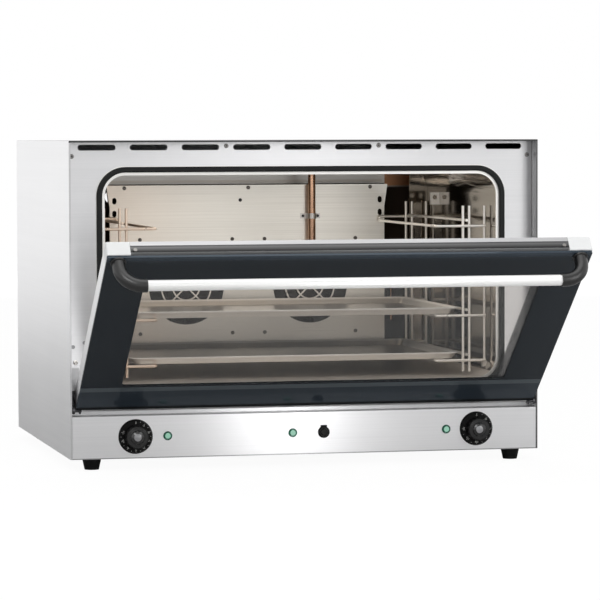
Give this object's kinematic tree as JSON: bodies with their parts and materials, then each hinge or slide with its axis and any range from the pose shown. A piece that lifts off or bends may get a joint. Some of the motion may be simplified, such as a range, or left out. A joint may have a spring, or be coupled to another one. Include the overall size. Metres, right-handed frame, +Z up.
{
  "type": "convection oven",
  "caption": "Countertop convection oven with a drop-down glass door, a recessed vented front, side racks with trays, rear fans, and dials, lamps and a push button on the lower panel.",
  "frame": {"origin": "on the floor under the feet, at the centre of the box round the whole oven with its door part-way open as at rest", "axes": "+X to the right seen from the front, +Y from the front to the back, +Z up"},
  "size_m": [0.835, 1.0498, 0.567],
  "materials": {
    "case_steel": "brushed stainless sheet",
    "cavity_steel": "polished stainless cavity sheet",
    "wire_chrome": "bright wire",
    "screw_steel": "plain steel fasteners",
    "tray_steel": "satin tray sheet",
    "black_rubber": "soft black rubber",
    "door_glass": "clear glass with a near-black printed border",
    "inner_glass": "clear heat-reflecting glass",
    "lamp_glass": "clear pressed glass",
    "door_aluminium": "satin drawn aluminium",
    "pale_plastic": "light grey moulded plastic",
    "handle_aluminium": "bright ribbed aluminium",
    "black_plastic": "fine-grained black plastic",
    "cap_grey": "glossy grey plastic",
    "green_lens": "green lamp lens",
    "lens_rim": "bright rim",
    "copper": "heat-tinted copper",
    "brass": "plain brass",
    "zinc_steel": "zinc-plated steel",
    "dark_metal": "dark painted metal",
    "heater_sheath": "oxidised heating element sheath",
    "white_ceramic": "unglazed white ceramic",
    "mineral_wool": "pressed mineral wool"
  },
  "bodies": {
    "oven_body": {"casing_wrap": "case_steel", "base_pan": "case_steel", "back_panel": "case_steel", "front_panel": "case_steel", "front_screws": "screw_steel", "control_panel": "case_steel", "feet": "black_rubber", "cavity_liner": "cavity_steel", "insulation": "mineral_wool", "door_gasket": "black_rubber", "fan_baffle": "cavity_steel", "baffle_posts": "screw_steel", "air_strips": "cavity_steel", "fan_guards": "wire_chrome", "cavity_screws": "screw_steel", "fan_motor_left": "dark_metal", "fan_motor_right": "dark_metal", "ring_heater_left": "heater_sheath", "ring_heater_right": "heater_sheath", "side_rack_right": "wire_chrome", "side_rack_left": "wire_chrome", "rack_brackets": "screw_steel", "timer": "dark_metal", "thermostat": "dark_metal", "indicator_lenses": "green_lens", "indicator_bezels": "lens_rim", "steam_switch": "black_plastic", "oven_lamp": "white_ceramic", "oven_lamp_glass": "lamp_glass", "thermostat_probe": "copper", "steam_pipe": "copper", "pipe_clip": "screw_steel", "water_valve": "brass", "exhaust_pipe": "case_steel", "cable_gland": "black_plastic", "terminal_block": "white_ceramic", "hinge_brackets": "zinc_steel", "hinge_brakes": "zinc_steel"},
    "door": {"door_bottom_rail": "door_aluminium", "door_corner_blocks": "pale_plastic", "door_inner_glass": "inner_glass", "door_outer_glass": "door_glass", "door_screws": "screw_steel", "door_side_left": "door_aluminium", "door_side_right": "door_aluminium", "door_top_rail": "door_aluminium", "handle_elbows": "black_plastic", "handle_tube": "handle_aluminium", "hinge_straps": "zinc_steel"},
    "fan_left": {"fan_wheel_left": "cavity_steel", "fan_shaft_left": "screw_steel"},
    "fan_right": {"fan_wheel_right": "cavity_steel", "fan_shaft_right": "screw_steel"},
    "lower_tray": {"tray_lower": "tray_steel"},
    "upper_tray": {"tray_upper": "tray_steel"},
    "timer_dial": {"timer_knob": "black_plastic", "timer_knob_cap": "cap_grey"},
    "thermostat_dial": {"thermostat_knob": "black_plastic", "thermostat_knob_cap": "cap_grey"},
    "steam_push": {"steam_button": "black_plastic"}
  },
  "joints": [
    {"name": "door_hinge", "type": "hinge", "parent": "oven_body", "child": "door", "pos_m": [0, -0.14708, 0.104], "axis": [1, 0, 0], "range_deg": [-51, 39]},
    {"name": "fan_left_spin", "type": "hinge", "parent": "oven_body", "child": "fan_left", "pos_m": [-0.1195, 0.39092, 0.2916], "axis": [0, 1, 0], "continuous": true},
    {"name": "fan_right_spin", "type": "hinge", "parent": "oven_body", "child": "fan_right", "pos_m": [0.1195, 0.39092, 0.2916], "axis": [0, 1, 0], "continuous": true},
    {"name": "lower_tray_slide", "type": "slide", "parent": "oven_body", "child": "lower_tray", "axis": [0, -1, 0], "range_m": [-0.01, 0.045]},
    {"name": "upper_tray_slide", "type": "slide", "parent": "oven_body", "child": "upper_tray", "axis": [0, -1, 0], "range_m": [-0.01, 0.045]},
    {"name": "timer_turn", "type": "hinge", "parent": "oven_body", "child": "timer_dial", "pos_m": [-0.3045, -0.15108, 0.058], "axis": [0, 1, 0], "range_deg": [0, 300]},
    {"name": "thermostat_turn", "type": "hinge", "parent": "oven_body", "child": "thermostat_dial", "pos_m": [0.3045, -0.15108, 0.058], "axis": [0, 1, 0], "range_deg": [0, 290]},
    {"name": "steam_press", "type": "slide", "parent": "oven_body", "child": "steam_push", "axis": [0, 1, 0], "range_m": [0, 0.003], "stiffness_N_per_m": 500}
  ]
}
